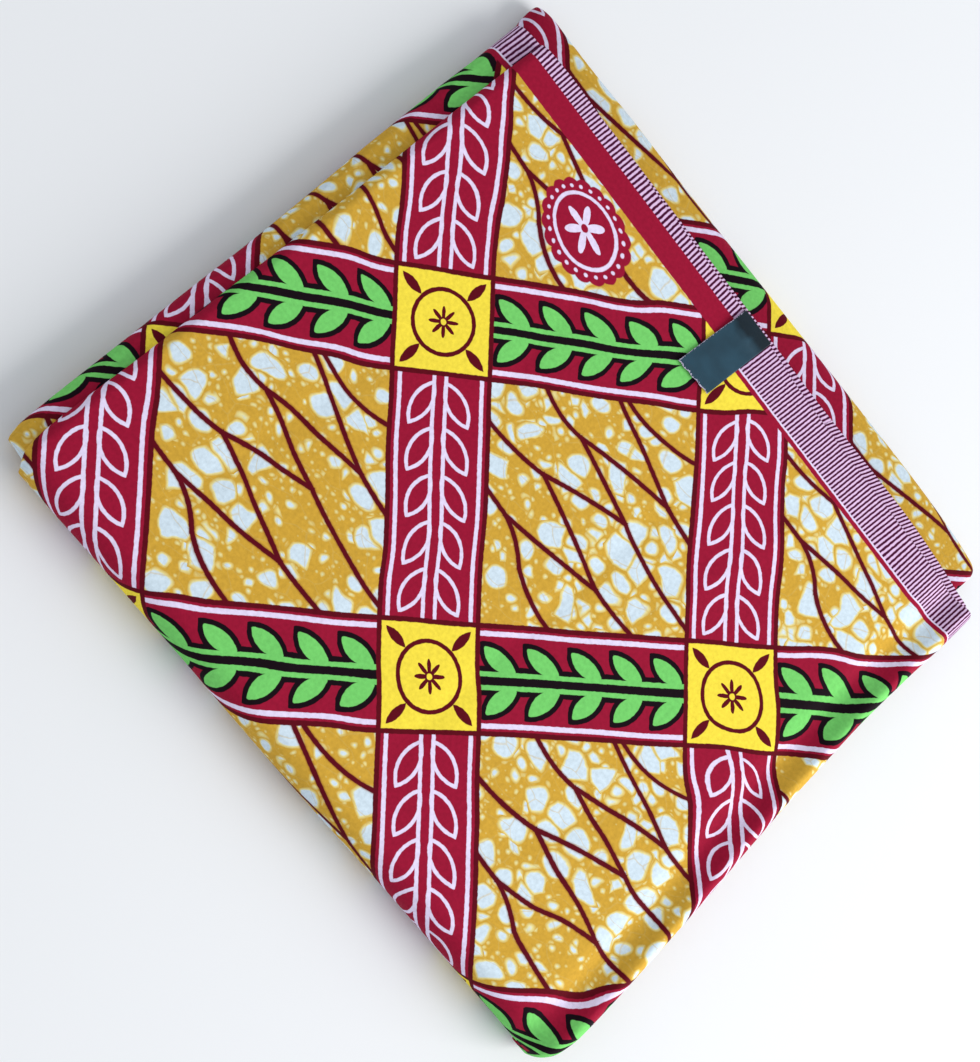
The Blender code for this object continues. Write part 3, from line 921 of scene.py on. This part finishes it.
def green_band(across, along_band):
    """Distances to the green of stem and leaves, to the black round it, and to the white border lines."""
    aside = abs(across - 0.4)
    leaf = lens((along_band - GREEN_START).wrapped(0.0, GREEN_PITCH), aside, GREEN_LEAF, 1.6) + 0.3
    green = leaf.least(abs(aside - 2.7) - 1.0)
    black = (green - 2.2).least(aside - 2.2)
    border = abs(abs(across) - 19.1) - 1.1
    return green, black, border


def square_motif(across, along_band):
    """A plain ring, a small rosette of radius 4.6 + 2.4 cos(8 angle), and a leaf towards each corner."""
    spot = across.node("ShaderNodeCombineXYZ", {0: across, 1: along_band})
    reach = spot.vector("LENGTH", (0, 0, 0), out=1)
    angle = across.math("ARCTAN2", along_band, across)
    rosette = reach - 4.6 - 2.4 * across.math("COSINE", angle * 8.0)
    ring = abs(reach - 14.2) - 0.95
    leaf = lens(abs(across), abs(along_band), CORNER_LEAF, 0.3)
    return ring.least(rosette.most(1.3 - reach)).least(leaf)


print("leaf circles:", [tuple(round(v, 1) for v in c) for c in GREEN_LEAF])

# %% [markdown]
# Along its free edge the cloth is striped in plum and pale pink, with a plain crimson band beside a part
# of the stripes. Near it an oval is printed on the ground. Both are laid over the print.

# %% The selvedge and the oval
BAND_FROM, BAND_TO, UPRIGHT_BEFORE = -186.0, -8.0, -212.0
CRIMSON_FROM, EDGE_LINE, STRIPES_FROM = 107.0, 109.8, 110.2
BAND_SHIFT, BAND_WIDTH = 4.0, 13.3


def selvedge(colour, place):
    """Crimson, a white line and stripes from 110.2 mm across, or a broad crimson band before the stripes.

    The stripes lean by 0.11 along to 1 across, but beside the band and at the low end they stand upright.
    """
    u, v = place.linear(1, 0), place.linear(0, 1)
    banded = (u - BAND_TO).ink(0.3) * (BAND_FROM - u).ink(0.3)
    begins = place.math("MULTIPLY_ADD", banded, BAND_WIDTH, STRIPES_FROM)
    lined = place.math("MULTIPLY_ADD", banded, BAND_SHIFT, CRIMSON_FROM)
    upright = banded.most((u - UPRIGHT_BEFORE).ink(0.3))
    stripe = place.math("PINGPONG", (u - v * 0.11 * (1 - upright)) * (1.0 - 0.09 * upright), 1.0)
    colour = colour.painted(CRIMSON, (lined - v).ink(0.3))
    colour = colour.painted(WHITE, (abs(v - EDGE_LINE) - 0.5).ink(0.3) * (1 - banded))
    striped = (stripe - 0.48).ink(0.3).between(PLUM, STRIPE)
    return colour.painted(striped, (begins - v).ink(0.3))


OVAL_PLACE = (-90.5, 90.8, 0.0)
OVAL_HALF = (25.0, 18.7)
SCALLOPS, DOTS, PETALS = 18, 24, 6


def oval(colour, place):
    """A plain crimson oval with a scalloped edge, a white ring, a ring of dots and a rosette.

    The oval is squeezed to a circle of radius 20. Its edge is 18.4 + 5.2 s (1 - s), with s running between
    0 and 0.5 on each scallop, and the rosette's is 6 + 3.4 cos(6 angle).
    """
    squeeze = (1 / OVAL_HALF[0], 1 / OVAL_HALF[1], 0.0)
    spot = place.vector("SUBTRACT", OVAL_PLACE).vector("MULTIPLY", squeeze)
    reach = spot.vector("LENGTH", (0, 0, 0), out=1) * 20.0
    angle = place.math("ARCTAN2", spot.linear(0, 1), spot.linear(1, 0))
    scallop = place.math("PINGPONG", angle * (SCALLOPS / math.tau), 0.5)
    away = reach - place.math("MULTIPLY_ADD", scallop * (1 - scallop), 5.2, 18.4)
    ring = abs(reach - 13.6) - 0.75
    swing = place.math("PINGPONG", angle * (DOTS / math.tau), 0.5) * 3.9
    from_dot = spot.node("ShaderNodeCombineXYZ", {0: swing, 1: reach - 16.4})
    dots = from_dot.vector("LENGTH", (0, 0, 0), out=1) - 0.75
    rosette = reach - 6.0 - 3.4 * place.math("COSINE", angle * PETALS)
    colour = colour.painted(CRIMSON, away.ink(0.4))
    white = ring.least(dots).least(rosette.most(1.6 - reach))
    return colour.painted(WHITE, white.ink(0.3))


print("stripes from", STRIPES_FROM, "mm across")

# %% [markdown]
# All of it goes into one base colour, with a faint unevenness of the dye. The bump is the plain weave of
# fine cotton threads. The cloth is nearly matte, so its gloss is set very low. The lower fold lies deeper in
# the shade than the light here gives, so it has a finish of its own with painted shade: its whole print is
# made a little darker.

# %% The wax print finish
THREAD = 0.72
SEAM_HALF_WIDTH = 1.1


def cloth_finish(name):
    """New finish, its shader, and a wire with the piece's own cloth map in millimetres."""
    finish = bpy.data.materials.new(name)
    finish.use_nodes = True
    metres = Wire(finish.node_tree).node("ShaderNodeUVMap", {}, uv_map="cloth")
    return finish, finish.node_tree.nodes["Principled BSDF"], metres.vector("SCALE", 1000.0)


def wax_print(name, shade=1.0):
    """Printed cotton, with weave = sin(2 pi u / THREAD) sin(2 pi v / THREAD); a shade below 1 is painted
    shade.
    """
    finish, shader, flat = cloth_finish(name)
    wobble = flat.noise(0.45, 2.0, "Color").vector("SUBTRACT", (0.5, 0.5, 0.5)).vector("SCALE", 0.45)
    place = flat.vector("ADD", wobble).vector("MULTIPLY", (1, 1, 0))
    centred = place.vector("ADD", (-SQUARE[0], -SQUARE[1], 1.0))
    p = centred.linear(*TO_PRINT[0])
    q = centred.linear(*TO_PRINT[1])
    across_white = p.wrapped(-REPEAT_GREEN / 2, REPEAT_GREEN / 2)
    across_green = q.wrapped(-REPEAT_WHITE / 2, REPEAT_WHITE / 2)
    along_green = p.wrapped(-HALF_BAND, REPEAT_GREEN - HALF_BAND)
    along_white = q.wrapped(-HALF_BAND, REPEAT_WHITE - HALF_BAND)
    grain = flat.noise(0.55, 3.0) - 0.5

    spot = p.node("ShaderNodeCombineXYZ", {0: along_green, 1: along_white, 2: 1.0})
    colour = golden_ground(place, spot, grain)

    in_white = (abs(across_white) - HALF_BAND).ink()
    in_green = (abs(across_green) - HALF_BAND).ink()
    colour = colour.painted(CRIMSON, in_white.most(in_green))
    lines = white_band(across_white, along_white)
    colour = colour.painted(WHITE, lines.ink() * in_white * (1 - in_green))
    green, black, border = green_band(across_green, along_green)
    here = in_green * (1 - in_white)
    colour = colour.painted(WHITE, border.ink() * here)
    colour = colour.painted(BLACK, black.ink() * here)
    colour = colour.painted(GREEN, green.ink() * here)
    colour = colour.painted(YELLOW, in_white * in_green)
    colour = colour.painted(MAROON, square_motif(across_white, across_green).ink() * in_white * in_green)
    seam = abs(abs(across_white) - HALF_BAND).least(abs(abs(across_green) - HALF_BAND))
    colour = colour.painted(MAROON, (seam - SEAM_HALF_WIDTH).ink(0.3))

    colour = selvedge(oval(colour, place), place)
    # Painted shade: a shade below 1 darkens the whole print; the grain adds a faint real unevenness of the
    # dye.
    dye_and_painted_shade = place.math("MULTIPLY_ADD", grain, 0.35, shade)
    colour.vector("SCALE", dye_and_painted_shade).into(shader, "Base Color")

    turns = math.tau / THREAD
    weave = flat.math("SINE", flat.linear(turns, 0)) * flat.math("SINE", flat.linear(0, turns))
    height = weave * 0.5 + flat.noise(1.6, 2.0)
    bump = flat.node("ShaderNodeBump", {"Strength": 0.35, "Distance": 0.00006, "Height": height})
    bump.into(shader, "Normal")
    shader.inputs["Roughness"].default_value = 0.72
    shader.inputs["Sheen Weight"].default_value = 0.01
    shader.inputs["Sheen Roughness"].default_value = 0.45
    shader.inputs["Specular IOR Level"].default_value = 0.04
    print(name, len(finish.node_tree.nodes), "nodes")
    return finish


cotton = wax_print("wax print cotton")
for thing in (top_cloth, second_cloth, inner_plies):
    thing.data.materials.append(cotton)
# This copy carries painted shade: the lower fold's print is darkened to 0.87.
lower_cloth.data.materials.append(wax_print("wax print cotton, lower fold, painted shade", 0.87))

# %% [markdown]
# The label is teal satin. Long floats of thread run down it, so it is smooth one way and finely ribbed the
# other. Its cut side and end are left raw, with pale threads showing, and near its fold it has painted shade.

# %% The satin finish
TEAL = ink_colour(34, 66, 82)
PAINTED_SHADE_TEAL = ink_colour(14, 32, 42)
RIB = 0.45
LABEL_LENGTH = 46.0


def satin(name, length):
    """Teal ribbon with ribs sin(2 pi u / RIB), ragged along u = 0 and v = 0, with painted shade near v =
    length.
    """
    finish, shader, flat = cloth_finish(name)
    u, v = flat.linear(1, 0), flat.linear(0, 1)
    fray = flat.noise(1.3, 3.0) - 0.5
    patch = flat.noise(0.09, 2.0) - 0.5
    # Painted shade: the teal darkens towards the fold, over a wavering edge.
    shade = (length - 10.5 - v + patch * 9.0).ink(5.0)
    base = shade.between(TEAL, PAINTED_SHADE_TEAL)
    colour = base.vector("SCALE", flat.math("MULTIPLY_ADD", patch, 0.7, 1.0))
    raw = (u - 0.15 + fray * 1.6).least(v - 0.35 + fray * 2.2)
    colour.painted(WHITE, raw.ink(0.3) * 0.8).into(shader, "Base Color")
    ribs = flat.math("SINE", flat.linear(math.tau / RIB, 0)) + fray
    bump = flat.node("ShaderNodeBump", {"Strength": 0.4, "Distance": 0.00005, "Height": ribs})
    bump.into(shader, "Normal")
    shader.inputs["Roughness"].default_value = 0.5
    shader.inputs["Specular IOR Level"].default_value = 0.18
    print(name, len(finish.node_tree.nodes), "nodes")
    return finish


label_ribbon.data.materials.append(satin("teal satin", LABEL_LENGTH))

# %% [markdown]
# Each piece is attached to the root body, and the imported part that it stands for is hidden.


for piece, node, slot in (
    (top_cloth, "top_fold", "printed_cloth"),
    (second_cloth, "second_fold", "printed_cloth_inner"),
    (lower_cloth, "lower_fold", "printed_cloth_lower"),
    (inner_plies, "hidden_layers", "ply_edges"),
    (label_ribbon, "label", "label_satin"),
):
    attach(piece, "root")
    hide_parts(node)

# %% [markdown]
# The bundle lies on a plain pale floor. Folded cloth shows its creases best with one large soft light from
# the side and a bright even sky, which also keeps the inks true.

# %% The floor
pale = bpy.data.materials.new("pale floor")
pale.use_nodes = True
pale_shader = pale.node_tree.nodes["Principled BSDF"]
pale_shader.inputs["Base Color"].default_value = (0.85, 0.85, 0.86, 1)
pale_shader.inputs["Roughness"].default_value = 0.8

floor_mesh = bpy.data.meshes.new("floor")
floor_mesh.from_pydata([(-3, -3, 0), (3, -3, 0), (3, 3, 0), (-3, 3, 0)], [], [(0, 1, 2, 3)])
floor = bpy.data.objects.new("floor", floor_mesh)
bpy.context.scene.collection.objects.link(floor)
floor_mesh.materials.append(pale)
print("floor", floor.dimensions.x, "by", floor.dimensions.y, "m")

# %% The light
world = bpy.data.worlds.new("soft sky")
world.use_nodes = True
world.node_tree.nodes["Background"].inputs["Color"].default_value = (0.9, 0.95, 1.0, 1)
world.node_tree.nodes["Background"].inputs["Strength"].default_value = 0.65
bpy.context.scene.world = world

window = bpy.data.lights.new("window", "AREA")
window.size = 1.5
window.energy = 50
light = bpy.data.objects.new("window", window)
light.location = (1.85, 0.5, 1.1)
light.rotation_euler = (-light.location).to_track_quat("-Z", "Y").to_euler()
bpy.context.scene.collection.objects.link(light)
bpy.context.scene.view_settings.view_transform = "Standard"
print("window light of", window.energy, "W")
